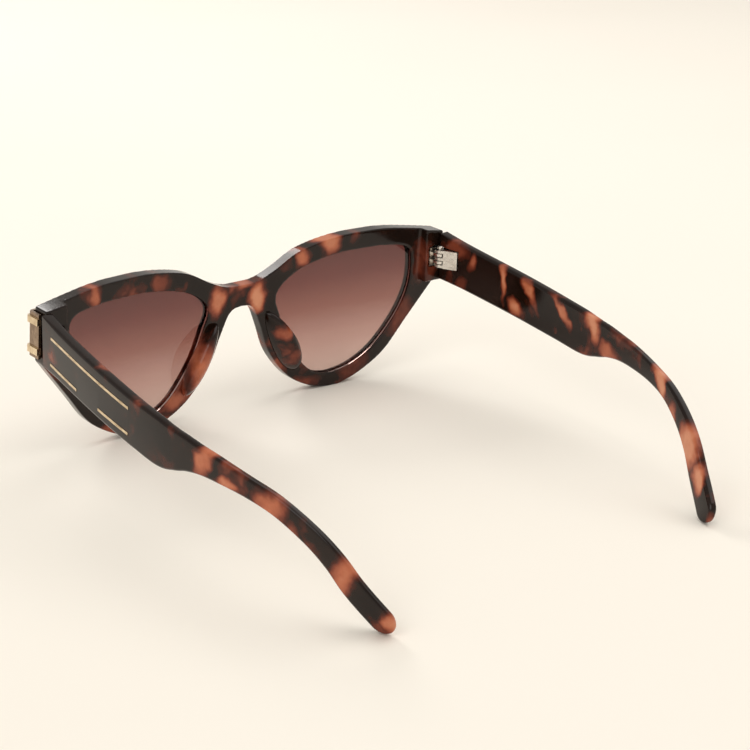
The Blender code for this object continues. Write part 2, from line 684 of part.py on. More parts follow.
front_frame = make_front()
root = bpy.data.objects.new("sunglasses_origin", None)
PIECES.objects.link(root)
for turn_side, side_word in ((1, "left"), (-1, "right")):
    turning = make_side(turn_side, side_word, front_frame)
    pivot = bpy.data.objects.new(side_word + "_hinge_axis", None)
    pivot.location = (turn_side * HINGE_X, HINGE_Y, 0)
    PIECES.objects.link(pivot)
    bpy.context.view_layer.update()
    hold(pivot, *turning)
bpy.context.view_layer.update()
loose = [item for item in [*PIECES.objects, *CUTTERS.objects] if item.parent is None and item is not root]
hold(root, *loose)
low_y, high_y = span_of([item for item in PIECES.objects if item.type == "MESH"], 1)
root.location.y = -(low_y + high_y) / 2
for piece in PIECES.objects:
    if piece.type == "MESH":
        piece.data.set_sharp_from_angle(angle=math.radians(35))
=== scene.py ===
"""Looks for the cat eye sunglasses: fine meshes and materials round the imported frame, in metres with +Z up.

The acetate front, temples, nose pads and lenses are remade as smooth, rounded meshes in the place of their
CAD solids. The metal pieces keep their CAD solids, with softened edges and better finishes.
"""

import json
import math

import bmesh
import bpy
import numpy as np
from mathutils import Matrix, Vector
from mathutils.geometry import interpolate_bezier


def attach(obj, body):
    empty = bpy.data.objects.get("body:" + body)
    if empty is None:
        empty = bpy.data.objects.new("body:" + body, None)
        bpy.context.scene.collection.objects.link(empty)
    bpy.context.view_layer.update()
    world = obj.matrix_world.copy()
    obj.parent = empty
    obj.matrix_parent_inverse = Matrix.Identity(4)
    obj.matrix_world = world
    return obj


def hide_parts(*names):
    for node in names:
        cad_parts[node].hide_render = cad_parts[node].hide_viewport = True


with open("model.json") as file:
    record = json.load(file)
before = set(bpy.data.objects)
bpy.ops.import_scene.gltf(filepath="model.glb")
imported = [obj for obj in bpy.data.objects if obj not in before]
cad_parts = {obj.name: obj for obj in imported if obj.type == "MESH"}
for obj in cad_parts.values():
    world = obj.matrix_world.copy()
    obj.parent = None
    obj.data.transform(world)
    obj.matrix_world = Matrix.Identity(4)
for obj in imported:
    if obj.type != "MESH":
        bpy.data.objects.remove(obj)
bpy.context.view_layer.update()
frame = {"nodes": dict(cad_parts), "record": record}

# The acetate front.
LENS_WIDTH, LENS_HEIGHT = 0.0492, 0.0397
BRIDGE_WIDTH, BRIDGE_TOP, BRIDGE_HEIGHT = 0.0246, 0.0399, 0.0069
RIM_TOP, RIM_SIDE, RIM_BOTTOM, RIM_NOSE = 0.0057, 0.0044, 0.0047, 0.0072
REST_LENGTH, END_LENGTH = 0.0050, 0.0095
HALF_WIDTH = BRIDGE_WIDTH / 2 + LENS_WIDTH + END_LENGTH
END_TOP, END_HEIGHT = 0.0470, 0.0160
FRONT_THICKNESS = 0.0042
FRONT_BOW, FRONT_LEAN = 0.520, 0.074
BLOCK_WIDTH, BLOCK_DEPTH = 0.0068, 0.0027
BLOCK_BITE = 0.6  # how far a block reaches into the front, per thickness
GAP = 0.0003
LENS_THICKNESS, LENS_BITE = 0.0018, 0.0008
LENS_SOFT, LENS_EASE = 0.0003, 0.0001  # edge bevel, and clearance at the rim of the lens
LENS_CENTRE = (0.52, 0.58)  # where a lens's rings meet, as shares of the opening
LENS_RINGS = [1.0, 0.985, 0.95, 0.88, 0.78, 0.66, 0.54, 0.42, 0.3, 0.18, 0.07]
PAD_LENGTH, PAD_WIDTH, PAD_DEPTH, PAD_PLACE, PAD_SPLAY = 0.0235, 0.0066, 0.0055, 0.59, 0.35
PAD_FLAT, PAD_TAPER, PAD_FALL = -0.12, 0.16, 0.10  # flat side, narrowing upwards, and fall towards the ends

# How the front is remade. Its outline is filled at FILL_SCALE and its body remeshed at VOXEL. Its upper edge
# is then levelled: fully down to RIPPLE below the outline, and less and less down to EDGE_BAND.
FILL_SCALE = 1000
VOXEL = 0.00034
RIPPLE, EDGE_BAND, TOP_SAMPLES = 0.00012, 0.00040, 240
EDGE_INSET = 0.00005
TOUCH = 1e-6

# The temples.
TEMPLE_LENGTH, TEMPLE_HEIGHT, ARM_HEIGHT, TIP_HEIGHT = 0.1295, 0.0148, 0.0058, 0.0074
TEMPLE_THICKNESS, ARM_THICKNESS = 0.0032, 0.0024
TEMPLE_ROUND, CAD_ROUND = 0.0010, 0.0009  # edge radius here and on the CAD temple
FRONT_ROUND, ROUND_STATIONS = 0.25, 6  # share of the radius at the front end, and sections to the full one
TEMPLE_FLARE, TIP_INSET, TIP_TURN = 0.0124, 0.0150, 0.26
TAPER_START, TAPER_END, TURN_START = 0.30, 0.60, 0.76
TIP_DEGREES = (12, 24, 36, 48, 58, 67, 75, 82)  # sections of the round tip
MOST_ROUND = 0.98  # the largest radius of a section's edges, per half its height or thickness
BARREL_RADIUS, HINGE_HEIGHT, HINGE_REACH, LEAF_SINK = 0.0016, 0.0058, 0.0062, 0.0013
HINGE_INSET, HINGE_SPARE = 0.0012, 0.00005
RECESS_INNER, RECESS_REACH = 1.4, 0.0020  # recess in the front: per barrel radius, and out of the block
POCKET_REACH = 0.0040
INLAY_WIDTH, INLAY_DEPTH, GROOVE_CLEAR, GROOVE_REACH, GROOVE_STEPS = 0.0008, 0.0005, 0.0001, 0.001, 12
BAND_HEIGHT, BAND_SPACING, BAND_FADE, PLAQUE_LIFT = 0.0020, 0.0088, 0.0002, 0.0002

# Edge bevels on the CAD's metal nodes.
HINGE_SOFT, PLAQUE_SOFT, INLAY_SOFT = 0.00012, 0.00015, 0.00008

# Places read from the frame.
PIVOT = Vector(next(joint["pos_m"] for joint in frame["record"]["behaviour"]["joints"]
                    if joint["name"] == "left_temple_fold"))
JOINT_Z = PIVOT.z
TEMPLE_FRONT = PIVOT.y - BARREL_RADIUS - HINGE_SPARE
BLOCK_BACK = TEMPLE_FRONT - GAP
END_BACK = HALF_WIDTH**2 / (2 * FRONT_BOW) + FRONT_LEAN * JOINT_Z + FRONT_THICKNESS / 2
FRONT_Y = BLOCK_BACK - BLOCK_DEPTH - END_BACK
INNER_X = PIVOT.x + HINGE_INSET
TEMPLE_X = INNER_X + TEMPLE_THICKNESS

# The lens opening, as shares of its width and height, from its nose side over the top.
OPENING = [
    (0.000, 0.733), (0.065, 0.846), (0.207, 0.937), (0.420, 0.990), (0.624, 1.000), (0.827, 0.990),
    (0.965, 0.950), (1.000, 0.851), (0.996, 0.625), (0.923, 0.400), (0.783, 0.174), (0.632, 0.048),
    (0.472, 0.000), (0.335, 0.028), (0.222, 0.144), (0.106, 0.360), (0.035, 0.582),
]
TOP_POINTS = range(1, 6)  # those with the top rim's wall outside them
LOWEST = 12  # the flat that each rim stands on is at this point
LOW_WALLS = {9: RIM_SIDE, 10: RIM_SIDE, 11: RIM_SIDE, 13: RIM_BOTTOM, 14: RIM_NOSE * 0.85,
             15: RIM_NOSE, 16: RIM_NOSE}
SADDLE_REACH, SADDLE_RISE = 0.24, 0.0004  # the point beside the bridge's top: share of its width, and rise
ARCH_REACH, ARCH_DROP = 0.17, 0.0013  # the same under the bridge, and its drop

# A temple's centre line: share of its length, height as a share of the joint's, and blade height.
DROP = TEMPLE_HEIGHT - ARM_HEIGHT
SWELL = TIP_HEIGHT - ARM_HEIGHT
TIP_LIFT = (ARM_THICKNESS - CAD_ROUND) / 2 * TIP_TURN  # keeps the turned tip's lower edge on the floor
TEMPLE_LINE = [
    (0.000, 1.000, TEMPLE_HEIGHT), (0.119, 0.944, ARM_HEIGHT + DROP * 0.93),
    (0.271, 0.877, ARM_HEIGHT + DROP * 0.90), (0.396, 0.821, ARM_HEIGHT + DROP * 0.88),
    (0.472, 0.790, ARM_HEIGHT + DROP * 0.87), (0.518, 0.792, ARM_HEIGHT + DROP * 0.65),
    (0.554, 0.800, ARM_HEIGHT + DROP * 0.44), (0.598, 0.797, ARM_HEIGHT + DROP * 0.24),
    (0.647, 0.782, ARM_HEIGHT + DROP * 0.13), (0.723, 0.740, ARM_HEIGHT), (0.792, 0.677, ARM_HEIGHT),
    (0.859, 0.558, ARM_HEIGHT + SWELL * 0.30), (0.908, 0.426, ARM_HEIGHT + SWELL * 0.65),
    (0.949, 0.267, ARM_HEIGHT + SWELL * 0.95), (1.000, (TIP_HEIGHT / 2 + TIP_LIFT) / JOINT_Z, TIP_HEIGHT),
]

# The two ends of each inlay, behind the temple's front end and above the joint.
INLAYS = {
    "long": ((0.0054, 0.0026), (0.0484, -0.0031)),
    "front_short": ((0.0046, -0.0052), (0.0206, -0.0073)),
    "rear_short": ((0.0326, -0.0086), (0.0480, -0.0103)),
}

# Amber patches in the acetate: centre, half-lengths along X, Y and Z, lean of Y per Z, and strength. Y is
# measured from the temple joint. A patch in the front goes right through it.
DEEP = 0.03
FRONT_PATCHES = [
    ((0.0530, 0, 0.0465), (0.0035, DEEP, 0.0045), 0, 0.74),
    ((0.0430, 0, 0.0480), (0.0030, DEEP, 0.0035), 0, 0.42),
    ((0.0310, 0, 0.0468), (0.0040, DEEP, 0.0035), 0, 0.55),
    ((0.0095, 0, 0.0365), (0.0036, DEEP, 0.0062), 0, 0.84),
    ((0.0180, 0, 0.0225), (0.0034, DEEP, 0.0095), 0, 0.76),
    ((0.0245, 0, 0.0085), (0.0075, DEEP, 0.0042), 0, 0.70),
    ((0.0660, 0, 0.0300), (0.0040, DEEP, 0.0060), 0, 0.62),
    ((0.0470, 0, 0.0040), (0.0090, DEEP, 0.0035), 0, 0.62),
    ((-0.0062, 0, 0.0345), (0.0036, DEEP, 0.0058), 0, 1.00),
    ((-0.0005, 0, 0.0388), (0.0042, DEEP, 0.0020), 0, 0.72),
    ((-0.0205, 0, 0.0445), (0.0030, DEEP, 0.0042), 0, 0.80),
    ((-0.0310, 0, 0.0475), (0.0045, DEEP, 0.0042), 0, 0.86),
    ((-0.0410, 0, 0.0490), (0.0030, DEEP, 0.0024), 0, 0.44),
    ((-0.0125, 0, 0.0190), (0.0040, DEEP, 0.0040), 0, 0.62),
    ((-0.0150, 0, 0.0115), (0.0030, DEEP, 0.0045), 0, 0.58),
    ((-0.0645, 0, 0.0370), (0.0036, DEEP, 0.0090), 0, 0.56),
    ((-0.0590, 0, 0.0200), (0.0060, DEEP, 0.0090), 0, 0.47),
    ((-0.0250, 0, 0.0025), (0.0060, DEEP, 0.0040), 0, 0.50),
    ((-0.0420, 0, 0.0050), (0.0070, DEEP, 0.0050), 0, 0.44),
]
RIGHT_PATCHES = [
    ((-0.070, 0.0075, 0.0430), (0.006, 0.0060, 0.0035), 0.0, 0.56),
    ((-0.070, 0.0145, 0.0405), (0.006, 0.0022, 0.0042), 0.2, 0.70),
    ((-0.070, 0.0115, 0.0320), (0.006, 0.0045, 0.0028), 0.0, 0.48),
    ((-0.070, 0.0270, 0.0375), (0.006, 0.0019, 0.0078), 0.0, 0.92),
    ((-0.070, 0.0325, 0.0300), (0.006, 0.0038, 0.0032), 0.0, 1.00),
    ((-0.070, 0.0385, 0.0375), (0.006, 0.0026, 0.0062), -0.5, 0.88),
    ((-0.070, 0.0520, 0.0365), (0.006, 0.0019, 0.0068), -0.5, 0.84),
    ((-0.070, 0.0660, 0.0345), (0.006, 0.0036, 0.0062), -0.3, 1.00),
    ((-0.070, 0.0735, 0.0280), (0.006, 0.0050, 0.0035), 0.0, 0.72),
    ((-0.066, 0.0985, 0.0285), (0.009, 0.0030, 0.0060), -0.3, 1.00),
    ((-0.063, 0.1075, 0.0220), (0.009, 0.0030, 0.0045), 0.0, 0.78),
    ((-0.060, 0.1165, 0.0160), (0.010, 0.0055, 0.0065), 0.0, 0.98),
    ((-0.057, 0.1230, 0.0105), (0.010, 0.0032, 0.0040), 0.0, 1.00),
    ((-0.054, 0.1335, 0.0010), (0.010, 0.0024, 0.0036), 0.0, 0.62),
]
LEFT_PATCHES = [
    ((0.0700, 0.0290, 0.0412), (0.0036, 0.0120, 0.0030), 0.0, 0.98),
    ((0.0720, 0.0620, 0.0270), (0.006, 0.0080, 0.0030), 0.0, 0.46),
    ((0.0720, 0.0790, 0.0320), (0.006, 0.0036, 0.0065), 0.4, 0.80),
    ((0.0710, 0.0870, 0.0280), (0.006, 0.0050, 0.0026), 0.0, 0.92),
    ((0.0660, 0.1000, 0.0270), (0.009, 0.0060, 0.0055), 0.0, 0.80),
    ((0.0630, 0.1060, 0.0215), (0.009, 0.0030, 0.0030), 0.0, 0.60),
    ((0.0590, 0.1215, 0.0135), (0.010, 0.0042, 0.0050), 0.0, 0.80),
    ((0.0550, 0.1320, 0.0030), (0.010, 0.0034, 0.0042), 0.0, 0.86),
]
LEFT_PAD_PATCHES = [((0.016, 0, 0.018), (0.005, DEEP, 0.011), 0, 0.76)]
RIGHT_PAD_PATCHES = [
    ((-0.0135, 0, 0.0245), (0.003, DEEP, 0.004), 0, 0.66),
    ((-0.0175, 0, 0.0135), (0.004, DEEP, 0.004), 0, 0.50),
]

# Colours from the dark acetate to the brightest amber, and from the bottom of a lens to its top.
BROWNS = [
    (0.00, (0.0065, 0.0028, 0.0016)), (0.24, (0.0140, 0.0055, 0.0030)), (0.42, (0.0800, 0.0150, 0.0070)),
    (0.60, (0.2500, 0.0560, 0.0270)), (0.78, (0.4800, 0.1420, 0.0680)), (1.00, (0.6600, 0.2800, 0.1550)),
]
TINTS = [
    (0.00, (0.60, 0.43, 0.39)), (0.25, (0.45, 0.275, 0.245)), (0.55, (0.25, 0.105, 0.088)),
    (0.80, (0.140, 0.045, 0.040)), (1.00, (0.095, 0.027, 0.024)),
]

# Noise that moves the patches' edges: scale, and reach in metres.
WARPS = [(75, 0.0105), (310, 0.0022)]
PATCH_CORE, PATCH_EDGE = 0.30, 1.60  # where a patch starts to fade and ends, per half-length
BRUSH_DEPTH, GRAIN_DEPTH = 0.00002, 0.00001
NOISE_SPAN = (0.3, 0.7)  # most of a noise's values lie between these
MIX_FIRST, MIX_SECOND, MIX_RESULT = 6, 7, 2  # the sockets of a Mix node that hold colours

# The camera, from the centre of the glasses on the floor.
CAMERA_PLACE = Vector((0.34245, 0.41542, 0.23551))
CAMERA_FORWARD = Vector((-0.5912, -0.7252, -0.3529))
CAMERA_ROLL = 0.0315
CAMERA_LENS, CAMERA_SENSOR = 100.8, 36.0

# Lights: name, place, size, power and colour. They point at AIM.
LIGHTS = [
    ("key", (-0.40, 0.05, 0.95), 1.20, 5.6, (1.0, 0.98, 0.96)),
    ("fill", (0.85, 0.30, 0.70), 0.60, 2.4, (1.0, 0.98, 0.96)),
    ("rear", (-0.10, -0.90, 0.55), 0.35, 2.4, (1.0, 0.97, 0.94)),
]
AIM = Vector((0, 0, 0.02))
FLOOR_SIZE = 6

# The surround's colour, and its strength from near the horizon to high up.
SURROUND = (1.0, 0.955, 0.89, 1)
SURROUND_FADE = (("From Min", 0.02), ("From Max", 0.45), ("To Min", 0.92), ("To Max", 0.52))


def smooth_line(points, steps, closed=False, corners=()):
    """Points along a smooth line through the given ones, with straight stretches between two corners."""
    points = [Vector(point) for point in points]
    count = len(points)
    drawn = []
    for index in range(count if closed else count - 1):
        after = (index + 1) % count
        here, there = points[index], points[after]
        before = points[index - 1] if closed or index else here
        beyond = points[(after + 1) % count] if closed or after + 1 < count else there
        leave = Vector.Fill(len(here), 0) if index in corners else (there - before) / 6
        arrive = Vector.Fill(len(here), 0) if after in corners else (beyond - here) / 6
        drawn += interpolate_bezier(here, here + leave, there - arrive, there, steps + 1)[:-1]
    return drawn if closed else drawn + [points[-1]]


def offset(points, distance):
    """A closed outline, moved outwards by the distance."""
    moved = []
    for index, point in enumerate(points):
        along = points[(index + 1) % len(points)] - points[index - 1]
        moved.append(point + Vector((-along[1], along[0])).normalized() * distance)
    return moved


def opening_points():
    """The points that shape the lens opening on +X."""
    return [Vector((BRIDGE_WIDTH / 2 + u * LENS_WIDTH, RIM_BOTTOM + v * LENS_HEIGHT)) for u, v in OPENING]


def opening(steps=10):
    """The lens opening as a smooth closed line."""
    return smooth_line(opening_points(), steps, closed=True)


def front_outline(steps=10):
    """The outer line of the whole front, square at the endpieces and flat where it stands."""
    inside = opening_points()
    top = offset(inside, RIM_TOP)
    rest_x = inside[LOWEST][0]
    half = [Vector((BRIDGE_WIDTH * SADDLE_REACH, BRIDGE_TOP + SADDLE_RISE))]
    half += [top[index] for index in TOP_POINTS]
    half += [Vector((HALF_WIDTH, END_TOP)), Vector((HALF_WIDTH, END_TOP - END_HEIGHT))]
    for index, wall in LOW_WALLS.items():
        if index == LOWEST + 1:
            half += [Vector((rest_x + REST_LENGTH / 2, 0)), Vector((rest_x - REST_LENGTH / 2, 0))]
        half.append(offset(inside, wall)[index])
    half.append(Vector((BRIDGE_WIDTH * ARCH_REACH, BRIDGE_TOP - BRIDGE_HEIGHT - ARCH_DROP)))
    ends = [Vector((0, BRIDGE_TOP)), Vector((0, BRIDGE_TOP - BRIDGE_HEIGHT))]
    mirrored = [Vector((-point[0], point[1])) for point in reversed(half)]
    points = [ends[0]] + half + [ends[1]] + mirrored
    corners = [index for index, point in enumerate(points) if abs(abs(point[0]) - HALF_WIDTH) < TOUCH]
    corners += [index for index, point in enumerate(points) if point[1] == 0]
    return smooth_line(points, steps, closed=True, corners=corners)


def front_y(x, z):
    """The middle surface of the front."""
    return FRONT_Y + x * x / (2 * FRONT_BOW) + FRONT_LEAN * z


def link(obj):
    """Puts an object in the scene."""
    bpy.context.scene.collection.objects.link(obj)
    return obj


def evaluated_mesh(obj):
    """The mesh of an object with its modifiers, as a new mesh; the object is removed."""
    graph = bpy.context.evaluated_depsgraph_get()
    mesh = bpy.data.meshes.new_from_object(obj.evaluated_get(graph))
    bpy.data.objects.remove(obj)
    return mesh


def plate(loops, thickness):
    """A flat outline in XZ with holes, given thickness along Y. It is filled at FILL_SCALE, because filling
    closes up outlines whose points are very near each other."""
    curve = bpy.data.curves.new("plate", "CURVE")
    curve.dimensions = "2D"
    curve.fill_mode = "BOTH"
    curve.extrude = thickness / 2 * FILL_SCALE
    for loop in loops:
        spline = curve.splines.new("POLY")
        spline.points.add(len(loop) - 1)
        for point, place in zip(spline.points, loop):
            point.co = (place[0] * FILL_SCALE, place[1] * FILL_SCALE, 0, 1)
        spline.use_cyclic_u = True
    bm = bmesh.new()
    bm.from_mesh(evaluated_mesh(link(bpy.data.objects.new("plate", curve))))
    for vert in bm.verts:
        vert.co = Vector((vert.co.x, vert.co.z, vert.co.y)) / FILL_SCALE
    bmesh.ops.remove_doubles(bm, verts=bm.verts, dist=TOUCH)
    bmesh.ops.recalc_face_normals(bm, faces=bm.faces)
    return bm


def object_from(bm, name):
    """A bmesh as an object; the bmesh is freed."""
    mesh = bpy.data.meshes.new(name)
    bm.to_mesh(mesh)
    bm.free()
    return link(bpy.data.objects.new(name, mesh))


def boolean(target, operation, tools):
    """Joins the tools to the target, or cuts them from it."""
    for tool in tools:
        modifier = target.modifiers.new("cut", "BOOLEAN")
        modifier.operation = operation
        modifier.solver = "EXACT"
        modifier.object = tool


def fine_box(low, high, cuts=0):
    """A box between two corners, with its faces divided so that it can bend."""
    bm = bmesh.new()
    bmesh.ops.create_cube(bm, size=1)
    if cuts:
        bmesh.ops.subdivide_edges(bm, edges=bm.edges, cuts=cuts, use_grid_fill=True)
    for vert in bm.verts:
        vert.co = [low[i] + (vert.co[i] + 0.5) * (high[i] - low[i]) for i in range(3)]
    return bm


def mirror(bm, side):
    """A left piece as it is, or turned into a right one."""
    if side < 0:
        bmesh.ops.scale(bm, vec=(-1, 1, 1), verts=bm.verts)
        bmesh.ops.reverse_faces(bm, faces=bm.faces)
    return bm


def flatten(bm):
    """From the glasses' own shape to a flat front."""
    for vert in bm.verts:
        vert.co.y -= front_y(vert.co.x, vert.co.z)
    return bm


def skin(bm, rings):
    """Faces between each ring of vertices and the next."""
    for first, second in zip(rings, rings[1:]):
        for index in range(len(first)):
            bm.faces.new((first[index - 1], first[index], second[index], second[index - 1]))


def cap(bm, rings):
    """Closes the first and last ring, and turns all faces outwards."""
    bm.faces.new(rings[0])
    bm.faces.new(list(reversed(rings[-1])))
    bmesh.ops.recalc_face_normals(bm, faces=bm.faces)


def shade(obj, angle=None):
    """Smooth shading, with sharp edges above the angle if one is given."""
    obj.data.shade_smooth()
    if angle:
        obj.data.set_sharp_from_angle(angle=math.radians(angle))
    return obj


def outline_top(x):
    """Height of the front's upper edge above a place on X."""
    line = front_outline()
    heights = []
    for first, second in zip(line, line[1:]):
        if min(first[0], second[0]) <= x <= max(first[0], second[0]) and first[0] != second[0]:
            heights.append(first[1] + (second[1] - first[1]) * (x - first[0]) / (second[0] - first[0]))
    return max(heights)


def level_top(mesh):
    """Takes the remesh's ripple out of the front's upper edge, while the front is still flat."""
    places = np.linspace(0.0, HALF_WIDTH - EDGE_INSET, TOP_SAMPLES)
    heights = [outline_top(x) for x in places]
    for vert in mesh.vertices:
        top = float(np.interp(abs(vert.co.x), places, heights))
        below = top - vert.co.z
        if below < EDGE_BAND and abs(vert.co.x) < HALF_WIDTH - EDGE_BAND:
            share = min(1.0, max(0.0, (EDGE_BAND - below) / (EDGE_BAND - RIPPLE)))
            vert.co.z += (below - RIPPLE / 2) * share


def endpiece_block():
    """The block behind an endpiece, whose top follows the front's upper edge."""
    inside_y = BLOCK_BACK - BLOCK_DEPTH - FRONT_THICKNESS * BLOCK_BITE
    low = (HALF_WIDTH - BLOCK_WIDTH, inside_y, END_TOP - END_HEIGHT)
    bm = fine_box(low, (HALF_WIDTH, BLOCK_BACK, END_TOP), cuts=6)
    for vert in bm.verts:
        share = (vert.co.z - low[2]) / END_HEIGHT
        top = outline_top(min(vert.co.x, HALF_WIDTH - EDGE_INSET))
        vert.co.z = low[2] + share * (top - low[2])
    return bm


def hinge_recess():
    """The hollow in an endpiece block for the front leaf of the hinge."""
    half = HINGE_HEIGHT / 2
    inner = PIVOT.x - BARREL_RADIUS * RECESS_INNER - GAP
    low = (inner, BLOCK_BACK - LEAF_SINK - 2 * GAP, JOINT_Z - half - GAP)
    high = (PIVOT.x + BARREL_RADIUS + GAP, BLOCK_BACK + RECESS_REACH, JOINT_Z + half + GAP)
    return fine_box(low, high, cuts=4)


def make_front():
    """The front as one polished body: cut flat, remeshed, smoothed, levelled, and then bowed and leaned."""
    inside = opening()
    mirrored = [Vector((-point[0], point[1])) for point in inside]
    body = object_from(plate([front_outline(), inside, mirrored], FRONT_THICKNESS), "front")
    blocks, cutters = [], []
    for side in (1, -1):
        blocks.append(object_from(flatten(mirror(endpiece_block(), side)), "block"))
        loop = [Vector((side * point[0], point[1])) for point in offset(inside, LENS_BITE + GAP)]
        cutters.append(object_from(plate([loop], LENS_THICKNESS + 2 * GAP), "groove"))
        cutters.append(object_from(flatten(mirror(hinge_recess(), side)), "recess"))
    boolean(body, "UNION", blocks)
    boolean(body, "DIFFERENCE", cutters)
    remesh = body.modifiers.new("remesh", "REMESH")
    remesh.mode = "VOXEL"
    remesh.voxel_size = VOXEL
    soften = body.modifiers.new("soften", "SMOOTH")
    soften.factor = 0.5
    soften.iterations = 10
    mesh = evaluated_mesh(body)
    for helper in blocks + cutters:
        bpy.data.objects.remove(helper)
    level_top(mesh)
    for vert in mesh.vertices:
        vert.co.y += front_y(vert.co.x, vert.co.z)
    return shade(link(bpy.data.objects.new("polished_front", mesh)))


def make_lens(side, word):
    """A bowed lens with a softened edge, from rings that shrink to its centre."""
    loop = offset(opening(8), LENS_BITE - LENS_EASE)
    across, rise = LENS_CENTRE
    centre = Vector((BRIDGE_WIDTH / 2 + LENS_WIDTH * across, RIM_BOTTOM + LENS_HEIGHT * rise))
    bm = bmesh.new()
    rings = []
    for share in LENS_RINGS:
        places = [centre.lerp(point, share) for point in loop]
        rings.append([bm.verts.new((place[0], front_y(place[0], place[1]), place[1])) for place in places])
    skin(bm, rings)
    hub = bm.verts.new((centre[0], front_y(*centre), centre[1]))
    for index in range(len(loop)):
        bm.faces.new((rings[-1][index - 1], rings[-1][index], hub))
    bmesh.ops.recalc_face_normals(bm, faces=bm.faces)
    lens = object_from(mirror(bm, side), word + "_tinted_lens")
    thick = lens.modifiers.new("thickness", "SOLIDIFY")
    thick.thickness = LENS_THICKNESS
    thick.offset = 0
    soft = lens.modifiers.new("edge", "BEVEL")
    soft.width = LENS_SOFT
    soft.segments = 3
    soft.limit_method = "ANGLE"
    return shade(lens, 40)


def make_pad(side, word):
    """A polished nose pad: a rounded drop that narrows upwards, cut flat where it is glued to the rim."""
    inside = opening_points()
    upper = (inside[16] + offset(inside, RIM_NOSE)[16]) / 2
    lower = (inside[14] + offset(inside, RIM_NOSE)[14]) / 2
    along = (upper - lower).normalized()
    centre = lower.lerp(upper, PAD_PLACE)
    bm = bmesh.new()
    bmesh.ops.create_uvsphere(bm, u_segments=56, v_segments=36, radius=1)
    for vert in bm.verts:
        depth = max(vert.co.y, PAD_FLAT)
        taper = 1 - PAD_TAPER * vert.co.z
        across, run = vert.co.x * PAD_WIDTH / 2 * taper, vert.co.z * PAD_LENGTH / 2
        rise = depth * PAD_DEPTH * (1 - PAD_FALL * abs(vert.co.z))
        x = centre[0] + run * along[0] + across * along[1] + rise * PAD_SPLAY
        z = centre[1] + run * along[1] - across * along[0]
        vert.co = (x, front_y(x, z) + FRONT_THICKNESS / 2 + rise, z)
    return shade(object_from(mirror(bm, side), word + "_polished_pad"))


def share_at(y):
    """How far along a temple a place is, as a share of its length."""
    return (y - TEMPLE_FRONT) / TEMPLE_LENGTH


def thickness_at(y):
    """A temple's thickness, which eases from the blade's to the arm's."""
    step = min(max((share_at(y) - TAPER_START) / (TAPER_END - TAPER_START), 0), 1)
    return TEMPLE_THICKNESS + (ARM_THICKNESS - TEMPLE_THICKNESS) * step * step * (3 - 2 * step)


def turn_at(y):
    """How far a section leans outwards at its top, per height."""
    return TIP_TURN * max(0, (share_at(y) - TURN_START) / (1 - TURN_START))


def temple_x(y):
    """The middle of a temple's thickness in plan. Its outer face is a cubic in the share of its length."""
    share = share_at(y)
    bow = TEMPLE_FLARE * share - (TEMPLE_FLARE + TIP_INSET) * share**3
    return TEMPLE_X - thickness_at(y) / 2 + bow


def slope_at(y, step=0.0005):
    """How fast the middle of a temple moves along X as Y grows."""
    return (temple_x(y + step) - temple_x(y - step)) / (2 * step)


def temple_stations(steps):
    """Centre, upward direction and height of each section of a temple, with a round tip."""
    line = []
    for share, height, blade in TEMPLE_LINE:
        line.append((TEMPLE_FRONT + share * TEMPLE_LENGTH, height * JOINT_Z, blade))
    drawn = smooth_line(line, steps)
    stations = []
    for index, point in enumerate(drawn):
        before, after = drawn[max(index - 1, 0)], drawn[min(index + 1, len(drawn) - 1)]
        along = (after - before).to_2d().normalized()
        up = Vector((-along[1], along[0]))
        upright = max(0.0, 1 - index / (2 * steps))
        up = (up * (1 - upright) + Vector((0, 1)) * upright).normalized()
        stations.append((point.to_2d(), up, point[2]))
    centre, up, height = stations[-1]
    along = Vector((up[1], -up[0]))
    for degrees in TIP_DEGREES:
        angle = math.radians(degrees)
        stations.append((centre + along * math.sin(angle) * height / 2, up, height * math.cos(angle)))
    return stations


def section(height, thickness, radius, corner_steps=6):
    """A rounded rectangle, as pairs of across and up, anticlockwise."""
    radius = min(radius, height / 2 * MOST_ROUND, thickness / 2 * MOST_ROUND)
    points = []
    corners = ((1, 1, 0), (-1, 1, 90), (-1, -1, 180), (1, -1, 270))
    for side, top, start in corners:
        for step in range(corner_steps + 1):
            angle = math.radians(start + 90 * step / corner_steps)
            points.append((side * (thickness / 2 - radius) + radius * math.cos(angle),
                           top * (height / 2 - radius) + radius * math.sin(angle)))
    return points


def loft_temple():
    """A temple as a loft of rounded sections."""
    bm = bmesh.new()
    rings = []
    stations = temple_stations(9)
    full = len(stations) - len(TIP_DEGREES)
    for index, (centre, up, height) in enumerate(stations):
        thickness = thickness_at(centre[0])
        if index >= full:
            thickness *= math.sqrt(height / TIP_HEIGHT)
        fade = min(1.0, index / ROUND_STATIONS)
        radius = TEMPLE_ROUND * (FRONT_ROUND + (1 - FRONT_ROUND) * fade)
        ring = []
        square = Vector((1, -slope_at(centre[0]))).normalized()
        for across, rise in section(height, thickness, radius):
            place = centre + up * rise
            x = temple_x(place[0]) + turn_at(centre[0]) * rise + across * square[0]
            ring.append(bm.verts.new((x, place[0] + across * square[1], place[1])))
        rings.append(ring)
    skin(bm, rings)
    cap(bm, rings)
    return bm


def pocket():
    """The hollow in a temple's inner face that the hinge leaf lies in."""
    start, end = TEMPLE_FRONT - GAP, PIVOT.y + HINGE_REACH + GAP
    half = HINGE_HEIGHT / 2 + GAP
    low = (INNER_X - POCKET_REACH, start, JOINT_Z - half)
    bm = fine_box(low, (INNER_X + LEAF_SINK + GAP, end, JOINT_Z + half))
    for vert in bm.verts:
        if vert.co.x > INNER_X:
            vert.co.x = temple_x(vert.co.y) - thickness_at(vert.co.y) / 2 + LEAF_SINK + GAP
    return bm


